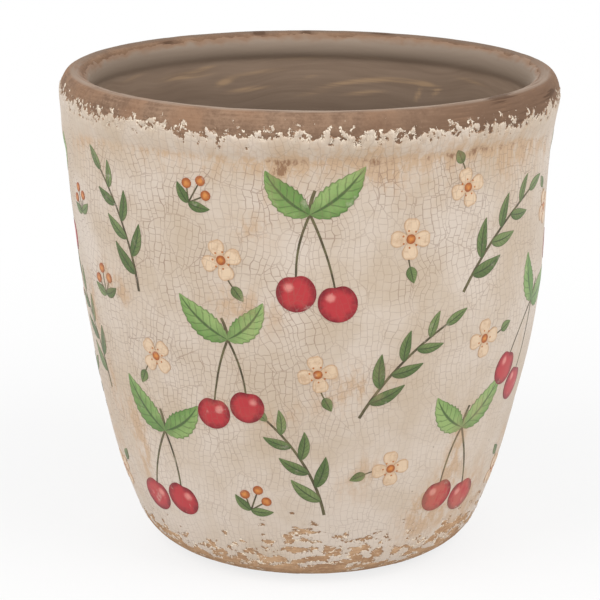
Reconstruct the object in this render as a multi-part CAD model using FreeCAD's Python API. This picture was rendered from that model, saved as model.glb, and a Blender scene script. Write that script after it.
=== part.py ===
"""Ceramic flower pot: a round vessel with a rolled rim, a straight upper wall, a curved belly and a foot ring.

The upright section is one unbroken tangent outline. It runs from the middle of the inside floor, up the inside
wall, over the lip, down the outside and under the foot to the axis, always with the air on its left. The clay
body fills the section. The two coats, a wash inside and a crackled glaze outside, lie on stretches of it.
"""
import FreeCAD, Part
import collections
import math
import os

# Overall sizes, in millimetres
RIM_DIAMETER = 200.0            # over the glaze, round the widest line of the rim
POT_HEIGHT = 195.0              # from the foot to the crest of the lip
WALL_THICKNESS = 7.6            # clay only, square to the wall
FLOOR_THICKNESS = 10.0          # clay only, over the foot ring
GLAZE_THICKNESS = 0.5
WASH_THICKNESS = 0.3

# Rolled rim, outside
LIP_OUTER_WIDTH = 5.5           # from the crest out to the widest line
LIP_OUTER_TIGHT_SHARE = 0.82    # radius at the crest, as a share of that width
RIM_UNDERSIDE_RADIUS = 17.0
RIM_UNDERSIDE_TURN = 28.0       # degrees
NECK_COVE_RADIUS = 7.5

# Rolled rim, inside
LIP_INNER_TIGHT_SHARE = 0.9     # radius at the crest, as a share of the lip's inner width
INNER_UNDERSIDE_RADIUS = 7.0
INNER_UNDERSIDE_TURN = 28.0     # degrees
INNER_COVE_RADIUS = 3.5
LIP_TIGHT_TURN = 60.0           # degrees turned by the tight arc on either side of the crest

# Wall and belly
WALL_LEAN = 3.2                 # degrees from upright
STRAIGHT_WALL_HEIGHT = 53.0     # from the neck down to the start of the belly
FOOT_INSET = 42.3               # from the top of the belly in to the flat of the foot
FOOT_CORNER_RADIUS = 20.5
INNER_CORNER_RADIUS = 16.0

# Foot ring
FOOT_RING_WIDTH = 9.0
FOOT_RECESS_DEPTH = 2.5
FOOT_RECESS_TURN = 60.0         # degrees, each way, of the slope into the recess

# Where the coats end
GLAZE_FOOT_SHARE = 0.35         # share of the foot corner that the glaze goes round
WASH_LIP_SHARE = 0.6            # share of the lip's inner flank that the wash goes up

QUARTER_TURN = 90.0
FULL_TURN = 360.0

Leg = collections.namedtuple("Leg", "start heading size bend")


def sine(degrees):
    return math.sin(math.radians(degrees))


def cosine(degrees):
    return math.cos(math.radians(degrees))


def shifted(point, heading, ahead=0.0, left=0.0):
    """Move a point of the section ahead along a heading and to the left of it."""
    radius = point[0] + ahead * cosine(heading) - left * sine(heading)
    height = point[1] + ahead * sine(heading) + left * cosine(heading)
    return radius, height


def point_on(leg, share, left=0.0):
    """Point at a share of a leg, a distance to the left of it."""
    if not leg.bend:
        return shifted(leg.start, leg.heading, ahead=share * leg.size, left=left)
    to_centre = math.copysign(leg.size, leg.bend)
    centre = shifted(leg.start, leg.heading, left=to_centre)
    return shifted(centre, leg.heading + share * leg.bend, left=left - to_centre)


def stretch(leg, first_share, last_share):
    """The stretch of a leg between two shares of it."""
    span_share = last_share - first_share
    size = leg.size if leg.bend else leg.size * span_share
    return Leg(point_on(leg, first_share), leg.heading + first_share * leg.bend, size, span_share * leg.bend)


def walk(start, heading, moves):
    """Follow named moves from a start: an arc is (radius, turn, left positive), a straight is (length, 0)."""
    legs = {}
    for name, (size, bend) in moves.items():
        legs[name] = Leg(start, heading, size, bend)
        start = point_on(legs[name], 1)
        heading += bend
    return legs


def lip_arcs(width, tight_share):
    """Radii of the tight arc at the crest and the slower arc that ends upright, over a level width."""
    slow_share = (1 - tight_share * sine(LIP_TIGHT_TURN)) / (1 - sine(LIP_TIGHT_TURN))
    return tight_share * width, slow_share * width


def lip_drop_share(tight_share):
    """Height of a lip's two arcs, as a share of its level width."""
    tight, slow = lip_arcs(1, tight_share)
    return tight * (1 - cosine(LIP_TIGHT_TURN)) + slow * cosine(LIP_TIGHT_TURN)


def section_legs():
    """The whole outline of the section, as named legs."""
    lean_slope = math.tan(math.radians(WALL_LEAN))
    slow_turn = QUARTER_TURN - LIP_TIGHT_TURN

    # Outside of the rim, from the crest down to the neck
    widest_radius = RIM_DIAMETER / 2 - GLAZE_THICKNESS
    crest_radius = widest_radius - LIP_OUTER_WIDTH
    outer_tight, outer_slow = lip_arcs(LIP_OUTER_WIDTH, LIP_OUTER_TIGHT_SHARE)
    rim_drop = (LIP_OUTER_WIDTH * lip_drop_share(LIP_OUTER_TIGHT_SHARE)
                + RIM_UNDERSIDE_RADIUS * sine(RIM_UNDERSIDE_TURN)
                + NECK_COVE_RADIUS * (sine(RIM_UNDERSIDE_TURN) - sine(WALL_LEAN)))
    neck_inset = (RIM_UNDERSIDE_RADIUS * (1 - cosine(RIM_UNDERSIDE_TURN))
                  + NECK_COVE_RADIUS * (cosine(WALL_LEAN) - cosine(RIM_UNDERSIDE_TURN)))
    neck_radius = widest_radius - neck_inset
    neck_height = POT_HEIGHT - rim_drop

    # Belly: tangent to the straight wall above and to the foot corner below
    belly_top_radius = neck_radius - STRAIGHT_WALL_HEIGHT * lean_slope
    belly_top_height = neck_height - STRAIGHT_WALL_HEIGHT
    corner_rise = belly_top_height - FOOT_CORNER_RADIUS
    belly_radius = ((FOOT_INSET ** 2 + corner_rise ** 2 - FOOT_CORNER_RADIUS ** 2)
                    / 2 / (FOOT_INSET * cosine(WALL_LEAN) - corner_rise * sine(WALL_LEAN) - FOOT_CORNER_RADIUS))
    centre_radius = belly_top_radius - belly_radius * cosine(WALL_LEAN)
    centre_height = belly_top_height + belly_radius * sine(WALL_LEAN)
    outer_reach = belly_radius - FOOT_CORNER_RADIUS
    foot_lean = math.degrees(math.asin((centre_height - FOOT_CORNER_RADIUS) / outer_reach))
    foot_radius = belly_top_radius - FOOT_INSET

    # Inside: the same wall, one wall thickness in, down to the corner of the floor
    inner_belly_radius = belly_radius - WALL_THICKNESS
    inner_reach = inner_belly_radius - INNER_CORNER_RADIUS
    floor_lean = math.degrees(math.asin((centre_height - INNER_CORNER_RADIUS - FLOOR_THICKNESS) / inner_reach))
    floor_radius = centre_radius + inner_reach * cosine(floor_lean)

    # Inside of the rim: its width is what brings the inner cove onto the inside wall
    cove_turn = INNER_UNDERSIDE_TURN + WALL_LEAN
    under_lip_drop = (INNER_UNDERSIDE_RADIUS * sine(INNER_UNDERSIDE_TURN)
                      + INNER_COVE_RADIUS * (sine(INNER_UNDERSIDE_TURN) + sine(WALL_LEAN)))
    under_lip_depth = (INNER_UNDERSIDE_RADIUS * (1 - cosine(INNER_UNDERSIDE_TURN))
                       + INNER_COVE_RADIUS * (cosine(WALL_LEAN) - cosine(INNER_UNDERSIDE_TURN)))
    inner_drop_share = lip_drop_share(LIP_INNER_TIGHT_SHARE)
    lip_inner_width = ((crest_radius + under_lip_depth - neck_radius + WALL_THICKNESS / cosine(WALL_LEAN)
                        + (under_lip_drop - rim_drop) * lean_slope) / (1 - inner_drop_share * lean_slope))
    inner_tight, inner_slow = lip_arcs(lip_inner_width, LIP_INNER_TIGHT_SHARE)
    inner_top_height = POT_HEIGHT - lip_inner_width * inner_drop_share - under_lip_drop
    inner_low_height = belly_top_height + WALL_THICKNESS * sine(WALL_LEAN)

    # Under the foot: two equal arcs lead from the ring into the recess
    recess_radius = FOOT_RECESS_DEPTH / 2 / (1 - cosine(FOOT_RECESS_TURN))
    recess_slope_width = 2 * recess_radius * sine(FOOT_RECESS_TURN)

    moves = {
        "floor": (floor_radius, 0),
        "inner_corner": (INNER_CORNER_RADIUS, QUARTER_TURN - floor_lean),
        "inner_belly": (inner_belly_radius, floor_lean - WALL_LEAN),
        "inner_wall": ((inner_top_height - inner_low_height) / cosine(WALL_LEAN), 0),
        "inner_cove": (INNER_COVE_RADIUS, cove_turn),
        "inner_underside": (INNER_UNDERSIDE_RADIUS, -INNER_UNDERSIDE_TURN),
        "inner_flank": (inner_slow, -slow_turn),
        "inner_crest": (inner_tight, -LIP_TIGHT_TURN),
        "outer_crest": (outer_tight, -LIP_TIGHT_TURN),
        "outer_flank": (outer_slow, -slow_turn),
        "rim_underside": (RIM_UNDERSIDE_RADIUS, -RIM_UNDERSIDE_TURN),
        "neck_cove": (NECK_COVE_RADIUS, RIM_UNDERSIDE_TURN - WALL_LEAN),
        "outer_wall": (STRAIGHT_WALL_HEIGHT / cosine(WALL_LEAN), 0),
        "belly": (belly_radius, WALL_LEAN - foot_lean),
        "foot_corner": (FOOT_CORNER_RADIUS, foot_lean - QUARTER_TURN),
        "foot_ring": (FOOT_RING_WIDTH, 0),
        "recess_edge": (recess_radius, -FOOT_RECESS_TURN),
        "recess_cove": (recess_radius, FOOT_RECESS_TURN),
        "recess": (foot_radius - FOOT_RING_WIDTH - recess_slope_width, 0),
    }
    return walk((0, FLOOR_THICKNESS), 0, moves)


def in_space(point):
    """Place a (radius, height) point of the section in the XZ plane."""
    return FreeCAD.Vector(point[0], 0, point[1])


def straight(first, last):
    return Part.LineSegment(in_space(first), in_space(last)).toShape()


def outline(legs, left=0.0):
    """Edges along the legs, a distance to the left of them."""
    edges = []
    for leg in legs:
        ends = point_on(leg, 0, left), point_on(leg, 1, left)
        if leg.bend:
            middle = point_on(leg, 1 / 2, left)
            edges.append(Part.Arc(in_space(ends[0]), in_space(middle), in_space(ends[1])).toShape())
        else:
            edges.append(straight(*ends))
    return edges


def turned(edges):
    """Turn a closed outline of the section round the upright axis into a solid."""
    wire = Part.Wire(Part.__sortEdges__(edges))
    return Part.Face(wire).revolve(FreeCAD.Vector(0, 0, 0), FreeCAD.Vector(0, 0, 1), FULL_TURN)


def coat(legs, thickness):
    """A coat of even thickness on the air side of the legs."""
    first_edge = straight(point_on(legs[0], 0), point_on(legs[0], 0, thickness))
    last_edge = straight(point_on(legs[-1], 1), point_on(legs[-1], 1, thickness))
    return turned(outline(legs) + outline(legs, thickness) + [first_edge, last_edge])


def clay_body(legs):
    """The fired vessel: everything between the outline and the axis."""
    all_legs = list(legs.values())
    axis_edge = straight(point_on(all_legs[-1], 1), all_legs[0].start)
    return turned(outline(all_legs) + [axis_edge])


def crackle_glaze(legs):
    """The outer coat, from the rim's widest line to part of the way round the foot corner."""
    covered = [legs[name] for name in ("rim_underside", "neck_cove", "outer_wall", "belly")]
    covered.append(stretch(legs["foot_corner"], 0, GLAZE_FOOT_SHARE))
    return coat(covered, GLAZE_THICKNESS)


def interior_wash(legs):
    """The inner coat, from the middle of the floor to part of the way up the lip's inner flank."""
    names = ("floor", "inner_corner", "inner_belly", "inner_wall", "inner_cove", "inner_underside")
    covered = [legs[name] for name in names]
    covered.append(stretch(legs["inner_flank"], 0, WASH_LIP_SHARE))
    return coat(covered, WASH_THICKNESS)


def main():
    os.makedirs("parts", exist_ok=True)
    legs = section_legs()
    for piece in (clay_body, crackle_glaze, interior_wash):
        shape = piece(legs)
        shape.exportStep(os.path.join("parts", piece.__name__ + ".step"))
        box = shape.optimalBoundingBox()
        print(piece.__name__, shape.ShapeType, shape.isValid(), "volume", round(shape.Volume),
              "size", [round(side, 2) for side in (box.XLength, box.YLength, box.ZLength)],
              "from", round(box.ZMin, 3), "to", round(box.ZMax, 3))


main()
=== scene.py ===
"""Looks of the ceramic flower pot: a bare clay rim and foot, a crackled cream glaze with printed sprigs, and
a brushed wash inside. Every mesh follows the section of the CAD body, which is read from the CAD model."""
import collections
import functools
import math
import random

import bpy
import numpy as np
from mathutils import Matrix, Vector, noise


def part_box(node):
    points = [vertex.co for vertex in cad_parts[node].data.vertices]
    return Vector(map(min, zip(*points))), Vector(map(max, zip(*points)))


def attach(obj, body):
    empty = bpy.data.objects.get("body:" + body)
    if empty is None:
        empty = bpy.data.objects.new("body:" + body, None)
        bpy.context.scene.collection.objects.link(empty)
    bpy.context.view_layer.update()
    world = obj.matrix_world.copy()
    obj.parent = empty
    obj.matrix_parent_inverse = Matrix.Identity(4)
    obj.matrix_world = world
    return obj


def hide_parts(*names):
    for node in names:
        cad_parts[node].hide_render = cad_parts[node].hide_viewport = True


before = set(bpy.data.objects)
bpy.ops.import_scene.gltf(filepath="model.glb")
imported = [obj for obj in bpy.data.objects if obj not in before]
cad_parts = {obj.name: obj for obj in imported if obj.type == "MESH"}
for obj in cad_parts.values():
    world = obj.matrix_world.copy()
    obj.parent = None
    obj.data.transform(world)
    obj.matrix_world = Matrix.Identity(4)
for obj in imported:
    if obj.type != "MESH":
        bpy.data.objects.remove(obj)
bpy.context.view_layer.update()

FULL_TURN = 2 * math.pi

# Camera, fitted to the photograph's outline of the pot, in metres, degrees and pixels of its 600 by 600 frame
CAMERA_DISTANCE = 0.9295
CAMERA_ELEVATION = 15.3
CAMERA_FOCAL_PIXELS = 2267.5
AIM_HEIGHT = 0.102
AIM_PIXEL = (310.0, 290.0)
FRAME_PIXELS = 600.0
SENSOR_WIDTH = 36.0

# Heights that the CAD model gives, in metres
GLAZE_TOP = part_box("crackle_glaze")[1].z
FLOOR_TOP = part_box("interior_wash")[0].z

# Coats, in metres
GLAZE_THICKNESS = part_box("crackle_glaze")[1].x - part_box("clay_body")[1].x
WASH_THICKNESS = 0.0003
FILM_THICKNESS = 0.00005
FILM_STEP = 0.00003             # how much higher each kind of printed shape lies than the one before
FILM_BACK = 0.0001              # how far a printed film's hidden back lies inside the glaze
COAT_BACK = 0.0005              # how far a coat's hidden back lies inside the clay
COAT_SINK = 0.00018             # how far a worn-away stretch of coat dips into the clay
COAT_EDGE_RAMP = 0.0024         # width over which a coat rises to its full thickness
GLAZE_EDGE_SHARE, WASH_EDGE_SHARE = 0.22, 0.0    # share of the thickness that a coat's worn edge still has
FOOT_THICKNESS_SHARE, FOOT_THIN_HEIGHT = 0.2, 0.045     # the glaze thins towards the foot
GLAZE_WAVE = 0.00012
GLAZE_WAVE_SIZE = 0.026
CLAY_WAVE = 0.00012
CLAY_WAVE_SIZE = 0.011

# Worn edges of the glaze and the wash: heights of their middle lines and depths of their raggedness
Edge = collections.namedtuple("Edge", "sway sway_size chip_depth chip_size")
RIM_EDGE_DROP = 0.0004          # how far under the top of the CAD model's glaze the edge lies
RIM_EDGE_HEIGHT = GLAZE_TOP - RIM_EDGE_DROP
RIM_EDGE_LEAN = 0.0011          # how much lower the edge is at the right than at the front
RIM_EDGE = Edge(sway=0.0030, sway_size=0.045, chip_depth=0.0058, chip_size=(0.0026, 0.0026, 0.0028))
FOOT_EDGE_HEIGHT = 0.0130
FOOT_EDGE_TILT = 0.0035         # how much higher the edge is at the left than at the front
FOOT_EDGE = Edge(sway=0.008, sway_size=0.05, chip_depth=0.013, chip_size=(0.0052, 0.0052, 0.0030))
FOOT_DISTANCE_SHARE = 0.62      # makes the foot's mixed band wider
WASH_EDGE_HEIGHT = 0.1934
WASH_EDGE_LEAN = 0.0008         # how much higher the edge is at the right than at the front
WASH_EDGE_SWAY = 0.0018
WASH_EDGE_SWAY_SIZE = 0.006
FAR_INSIDE = GLAZE_WAVE_SIZE    # stands for the distance to a worn edge that isn't near

# The hand-rolled rim hangs lower at the sides than at the front
SIDE_DROOP = 0.0145
BACK_DROOP = 0.003
DROOP_POWER = 8
DROOP_FULL_HEIGHT, DROOP_END_HEIGHT = 0.161, 0.120
NECK_HEIGHT = 0.1765
RIGHT_DIP = 0.0010              # how much lower the rim stands at the right than at the left
DIP_HEIGHTS = (0.150, 0.186)    # heights between which this grows

# Slight unevenness of the hand-made wall: heights, leans to the right and added fullness, in metres
UNEVEN_HEIGHTS = (0.0, 0.014, 0.035, 0.060, 0.088, 0.110, 0.125, 0.145, 0.170, 0.186, 0.195)
UNEVEN_LEANS = (0.0, -0.0003, -0.0003, -0.0001, 0.0007, 0.0006, 0.0001, -0.0006, -0.0009, 0.0, 0.0)
UNEVEN_FULLNESS = (0.0, 0.0002, 0.0002, -0.0005, -0.0003, 0.0001, 0.0002, -0.0001, -0.0003, 0.0, 0.0)

SAME_PLACE_DIGITS = 6
SPLINE_STEPS = 12


def smooth_share(values, low, high):
    """Smooth rise from 0 at one end of a range to 1 at the other."""
    share = np.clip((np.asarray(values) - low) / (high - low), 0, 1)
    return share * share * (3 - 2 * share)


# Outline of the section

def seam_chain(node):
    """The section of a turned node as a chain of (radius, height) points, from its edges in a half-plane."""
    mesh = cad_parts[node].data
    places = [tuple(round(value, SAME_PLACE_DIGITS) for value in vertex.co) for vertex in mesh.vertices]
    links = collections.defaultdict(set)
    for edge in mesh.edges:
        first, last = (places[index] for index in edge.vertices)
        if first != last and first[1] == last[1] == 0 and min(first[0], last[0]) > 0:
            links[first].add(last)
            links[last].add(first)
    open_ends = [place for place in links if len(links[place]) == 1]
    chain = [max(open_ends, key=lambda place: place[2])]
    ahead = links[chain[0]]
    while ahead:
        chain.append(next(iter(ahead)))
        ahead = links[chain[-1]] - {chain[-2]}
    return [(place[0], place[2]) for place in chain]


class Outline:
    """A smooth curve round the section, from the middle of the floor over the lip to the middle of the foot.

    It is the quadratic B-spline of the section's points, so straight stretches stay straight. Places on it
    are distances along it, and its normals point to the air.
    """

    def __init__(self, points):
        points = np.array(points)
        middles = (points[:-1] + points[1:]) / 2
        share = np.linspace(0, 1, SPLINE_STEPS, endpoint=False)[:, None]
        places = [points[:1]]
        for first, corner, last in zip(middles[:-1], points[1:-1], middles[1:]):
            places.append((1 - share) ** 2 * first + 2 * share * (1 - share) * corner + share ** 2 * last)
        places = np.concatenate(places + [middles[-1:], points[-1:]])
        steps = np.linalg.norm(np.diff(places, axis=0), axis=1)
        self.along = np.concatenate(([0], np.cumsum(steps)))
        self.radius, self.height = places.T
        tangent = np.gradient(places, self.along, axis=0)
        tangent /= np.linalg.norm(tangent, axis=1)[:, None]
        self.normal_radius, self.normal_height = -tangent[:, 1], tangent[:, 0]
        self.length = self.along[-1]
        self.crest_index = int(np.argmax(self.height))
        self.crest = self.along[self.crest_index]
        self.foot_index = int(np.argmin(self.height))

    def read(self, values, along):
        return np.interp(along, self.along, values)

    def outside(self, height):
        """Distance along the outline to a height on the outside."""
        outer = slice(self.crest_index, self.foot_index + 1)
        return np.interp(-np.asarray(height), -self.height[outer], self.along[outer])

    def inside(self, height):
        """Distance along the outline to a height on the inside."""
        inner = slice(None, self.crest_index + 1)
        return np.interp(height, self.height[inner], self.along[inner])

    def droop(self, along, angle):
        """How far up the outline the radius of a place is read, so that the rim hangs lower at the sides."""
        side = np.sin(angle) ** DROOP_POWER * SIDE_DROOP
        behind = np.clip(-np.cos(angle), 0, 1) ** DROOP_POWER * BACK_DROOP
        full = self.outside(DROOP_FULL_HEIGHT)
        rise = smooth_share(along, self.outside(GLAZE_TOP), full)
        fall = 1 - smooth_share(along, full, self.outside(DROOP_END_HEIGHT))
        return (side + behind) * rise * fall

    def surface(self, along, angle, lift):
        """Points on the turned surface. Angle 0 faces the camera, and lift is measured along the normals."""
        radius = self.read(self.radius, along - self.droop(along, angle))
        radius = radius + lift * self.read(self.normal_radius, along)
        height = self.read(self.height, along) + lift * self.read(self.normal_height, along)
        height = height - RIGHT_DIP * (1 + np.sin(angle)) / 2 * smooth_share(height, *DIP_HEIGHTS)
        outer = np.where(np.asarray(along) > self.crest, 1.0, 0.0)
        radius = radius + outer * np.interp(height, UNEVEN_HEIGHTS, UNEVEN_FULLNESS)
        lean = outer * np.interp(height, UNEVEN_HEIGHTS, UNEVEN_LEANS)
        radius, height, angle, lean = np.broadcast_arrays(radius, height, angle, lean)
        return np.stack((radius * np.sin(angle) + lean, -radius * np.cos(angle), height), axis=-1)


def read_outline():
    chain = seam_chain("clay_body")
    return Outline([(0, chain[0][1])] + chain + [(0, chain[-1][1])])


OUTLINE = read_outline()


# Uneven surfaces and worn edges

def fractal(points, size, octaves):
    """Fractal noise at points of the surface, with features of a given size."""
    places = np.asarray(points) / np.asarray(size)
    return np.array([noise.fractal(Vector(place), 1.0, 2.0, octaves) for place in places])


def wear(left, points, distance, edge):
    """Near a coat's edge, put what is left of the coat: the distance to the edge, swayed and chipped."""
    near = distance < edge.chip_depth + edge.sway
    sway = edge.sway * fractal(points[near], edge.sway_size, 2)
    left[near] = distance[near] + sway + edge.chip_depth * fractal(points[near], edge.chip_size, 4)


def glaze_left(points, along):
    """How far points lie inside the glaze's worn outline, in metres, negative where the glaze is gone."""
    left = np.full(len(points), FAR_INSIDE)
    side = np.sin(np.arctan2(points[:, 0], -points[:, 1]))
    wear(left, points, along - OUTLINE.outside(RIM_EDGE_HEIGHT - RIM_EDGE_LEAN * side), RIM_EDGE)
    from_foot = OUTLINE.outside(FOOT_EDGE_HEIGHT - FOOT_EDGE_TILT * side) - along
    wear(left, points, from_foot * FOOT_DISTANCE_SHARE, FOOT_EDGE)
    return left


def wash_left(points, along):
    """The same for the wash, whose upper edge is brushed."""
    angle = np.arctan2(points[:, 0], -points[:, 1])
    distance = OUTLINE.inside(WASH_EDGE_HEIGHT + WASH_EDGE_LEAN * np.sin(angle)) - along
    return distance + WASH_EDGE_SWAY * fractal(points, WASH_EDGE_SWAY_SIZE, 3)


def coat_lift(left, thickness, edge_share):
    """Height of a coat's face over the clay, from how far a point lies inside its worn outline."""
    share = np.clip(left / COAT_EDGE_RAMP, 0, 1)
    worn = thickness * (edge_share + (1 - edge_share) * share)
    return np.where(left > 0, worn, np.maximum(left, -COAT_SINK))


# Stains on the glaze: degrees round from the front, height, half length and half width in metres,
# slant in degrees from level, and strength

STAINS = (
    (-7, 0.1752, 0.012, 0.0030, 0, 1.0),
    (-6, 0.1730, 0.0026, 0.0019, 20, 2.6),
    (16, 0.1722, 0.010, 0.006, -40, 0.9),
    (38, 0.1765, 0.012, 0.0024, 5, 1.0),
    (49, 0.071, 0.011, 0.004, 29, 1.1),
    (43, 0.055, 0.012, 0.005, 85, 0.9),
    (37, 0.032, 0.017, 0.009, 59, 1.35),
    (52, 0.030, 0.018, 0.010, 50, 0.95),
    (8, 0.088, 0.018, 0.011, 20, 0.7),
    (-12, 0.118, 0.013, 0.010, 10, 0.6),
    (14, 0.050, 0.013, 0.010, 40, 0.65),
    (60, 0.020, 0.012, 0.006, 40, 1.0),
    (64, 0.092, 0.018, 0.004, 55, 0.4),
    (72, 0.042, 0.014, 0.005, 80, 1.2),
    (-70, 0.046, 0.024, 0.010, 100, 0.8),
    (-67, 0.106, 0.013, 0.004, 95, 1.2),
    (-53, 0.120, 0.012, 0.006, -31, 1.0),
    (-62, 0.074, 0.016, 0.005, 98, 0.7),
    (-53, 0.056, 0.021, 0.006, 92, 1.15),
    (-20, 0.122, 0.010, 0.008, 10, 0.5),
    (18, 0.086, 0.006, 0.002, 35, 0.8),
    (12, 0.087, 0.003, 0.0014, 50, 0.9),
    (-10, 0.075, 0.011, 0.005, 20, 0.55),
    (-22, 0.079, 0.008, 0.004, -25, 0.55),
    (-13, 0.150, 0.009, 0.006, 10, 0.5),
    (130, 0.150, 0.014, 0.004, 15, 0.8),
    (158, 0.060, 0.020, 0.005, 58, 0.8),
    (-165, 0.168, 0.014, 0.005, 4, 0.9),
    (-140, 0.110, 0.012, 0.005, 70, 0.6),
    (-112, 0.034, 0.018, 0.006, 110, 0.8),
    (175, 0.105, 0.010, 0.004, 30, 0.6),
)
# Brush strokes on the inside, in the same way, where 180 degrees is the far wall
STROKES = (
    (217, 0.1784, 0.013, 0.0014, -1, 1.1),
    (210, 0.1811, 0.006, 0.0009, -5, 0.7),
    (195, 0.1776, 0.013, 0.0011, -6, 0.6),
    (205, 0.1740, 0.0045, 0.0014, -16, 1.1),
    (198, 0.1703, 0.010, 0.0011, -5, 0.9),
    (183, 0.1835, 0.014, 0.0010, -3, 0.6),
    (180, 0.1676, 0.009, 0.0010, -8, 0.5),
    (180, 0.1753, 0.006, 0.0010, -17, 0.5),
    (172, 0.1720, 0.009, 0.0011, -11, 0.9),
    (162, 0.1745, 0.009, 0.0011, -6, 1.1),
    (152, 0.1751, 0.009, 0.0011, 1, 1.1),
    (145, 0.1747, 0.005, 0.0013, 5, 1.0),
    (164, 0.1688, 0.010, 0.0011, -8, 0.8),
    (148, 0.1697, 0.0038, 0.0013, -66, 0.9),
    (142, 0.1720, 0.0032, 0.0013, -41, 0.9),
    (130, 0.1794, 0.011, 0.0010, 4, 0.6),
    (162, 0.1847, 0.014, 0.0009, -2, 0.4),
    (236, 0.1817, 0.010, 0.0010, -7, 0.5),
    (100, 0.1700, 0.016, 0.0014, -12, 0.8),
    (70, 0.1640, 0.014, 0.0013, 10, 0.9),
    (35, 0.1720, 0.016, 0.0014, 6, 1.0),
    (5, 0.1600, 0.018, 0.0013, -8, 0.9),
    (330, 0.1680, 0.015, 0.0015, 12, 1.0),
    (300, 0.1740, 0.012, 0.0013, -5, 0.8),
    (270, 0.1620, 0.016, 0.0014, 9, 0.9),
    (180, 0.1500, 0.018, 0.0014, 6, 0.8),
    (215, 0.1450, 0.016, 0.0014, -10, 0.8),
    (130, 0.1400, 0.017, 0.0014, 8, 0.8),
)

# Darker stretches of the bare rim, in the same way
RIM_MARKS = (
    (52, 0.188, 0.055, 0.020, 0, 1.15),
    (70, 0.191, 0.010, 0.0018, 0, 0.8),
    (48, 0.1945, 0.007, 0.0012, 0, 0.9),
    (12, 0.186, 0.020, 0.006, 0, 0.4),
    (140, 0.1945, 0.014, 0.0008, 0, 0.9),
    (181, 0.1945, 0.0030, 0.0012, 0, 2.2),
    (194, 0.1945, 0.0036, 0.0012, 0, 2.2),
    (222, 0.1935, 0.005, 0.0012, 0, 1.7),
    (160, 0.1947, 0.009, 0.0006, 0, 1.7),
)
CREASE_DIRT_DEPTH = 0.016
CREASE_DIRT_SIZE = 0.03
CREASE_DIRT_SHARE = 1.15
# The line along the neck's crease is grime and painted shade
CREASE_DIRT_AND_SHADE_WIDTH = 0.0016
CREASE_DIRT_AND_SHADE_SHARE = 0.7
CREASE_LEAST_SHARE = 0.35
CREASE_PATCH_LEVEL = 0.6
RIM_WARMTH_HEIGHT, RIM_WARMTH_REACH, RIM_WARMTH_SHARE = 0.178, 0.010, 0.6
DIRT_AND_SHADE_ANGLE = 22                # degrees, where most of the grime and the crease's painted shade gather
DIRT_AND_SHADE_SHARPNESS = 3.0
CLEAN_SIDE_SHARE = 0.3          # share of the grime and painted crease shade that the pot's cleanest side still has


def marks(table, along, angle):
    """Strength of the marks of a table at places on the pot."""
    height = OUTLINE.read(OUTLINE.height, along)
    radius = OUTLINE.read(OUTLINE.radius, along)
    total = np.zeros(np.shape(height))
    for middle, mark_height, half_length, half_width, slant, strength in table:
        turned_angle = (angle - math.radians(middle) + math.pi) % FULL_TURN - math.pi
        across, up = turned_angle * radius, height - mark_height
        tilt = math.radians(slant)
        lengthwise = (across * math.cos(tilt) + up * math.sin(tilt)) / half_length
        sidewise = (up * math.cos(tilt) - across * math.sin(tilt)) / half_width
        total = total + strength * np.exp(-(lengthwise ** 2 + sidewise ** 2))
    return total


def glaze_marks(along, angle):
    """The glaze's stains, a line of grime and painted shade in the neck's crease, grime below it, and the
    rim's warmer tint.
    """
    below = along - OUTLINE.droop(along, angle) - OUTLINE.outside(NECK_HEIGHT)
    clouds = fractal(OUTLINE.surface(along, angle, 0), CREASE_DIRT_SIZE, 2)
    patches = np.clip(CREASE_PATCH_LEVEL + clouds, 0, 1)
    # Line of grime and painted shade along the crease
    line = np.exp(-(below / CREASE_DIRT_AND_SHADE_WIDTH) ** 2)
    smear = np.where(below > 0, np.exp(-np.abs(below) / CREASE_DIRT_DEPTH), line)
    line = line * (CREASE_LEAST_SHARE + (1 - CREASE_LEAST_SHARE) * patches)
    from_rim = (OUTLINE.read(OUTLINE.height, along) - RIM_WARMTH_HEIGHT) / RIM_WARMTH_REACH
    dirt_and_shade = smear * CREASE_DIRT_SHARE * patches ** 2 + line * CREASE_DIRT_AND_SHADE_SHARE
    dirt_and_shade = dirt_and_shade + RIM_WARMTH_SHARE * np.exp(-from_rim ** 2)
    near = np.exp(DIRT_AND_SHADE_SHARPNESS * (np.cos(angle - math.radians(DIRT_AND_SHADE_ANGLE)) - 1))
    return marks(STAINS, along, angle) + dirt_and_shade * (CLEAN_SIDE_SHARE + (1 - CLEAN_SIDE_SHARE) * near)


# Meshes

Ring = collections.namedtuple("Ring", "along columns lift left texture")
POLE_COLUMNS = 1
HIDDEN_TEXTURE_SHARE = 0.97
TEXTURE_MARGIN_SHARE = 0.004


def ring_angles(columns):
    return np.arange(columns) * FULL_TURN / columns


def ring_at(along, columns, face):
    """A ring of points at a distance along the outline. The face gives their lift and what is left."""
    points = OUTLINE.surface(along, ring_angles(columns), 0)
    return Ring(along, columns, *face(points, np.full(columns, along)), None)


def rings(start, end, spacing, columns, face):
    """Rings of points from one distance along the outline to another."""
    count = max(2, math.ceil(abs(end - start) / spacing) + 1)
    return [ring_at(along, columns, face) for along in np.linspace(start, end, count)]


def pole(along, face):
    return [ring_at(along, POLE_COLUMNS, face)]


def with_texture(shown, hidden=()):
    """Give rings a place in the texture: shown ones by their true distances, hidden ones in a narrow band."""
    steps = [abs(last.along - first.along) for first, last in zip(shown[:-1], shown[1:])]
    distances = np.concatenate(([0], np.cumsum(steps))) / sum(steps)
    top = HIDDEN_TEXTURE_SHARE if hidden else 1
    made = [ring._replace(texture=top * distance) for ring, distance in zip(shown, distances)]
    shares = np.linspace(top, 1, len(hidden) + 1)[1:]
    return made + [ring._replace(texture=share) for ring, share in zip(hidden, shares)]


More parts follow.
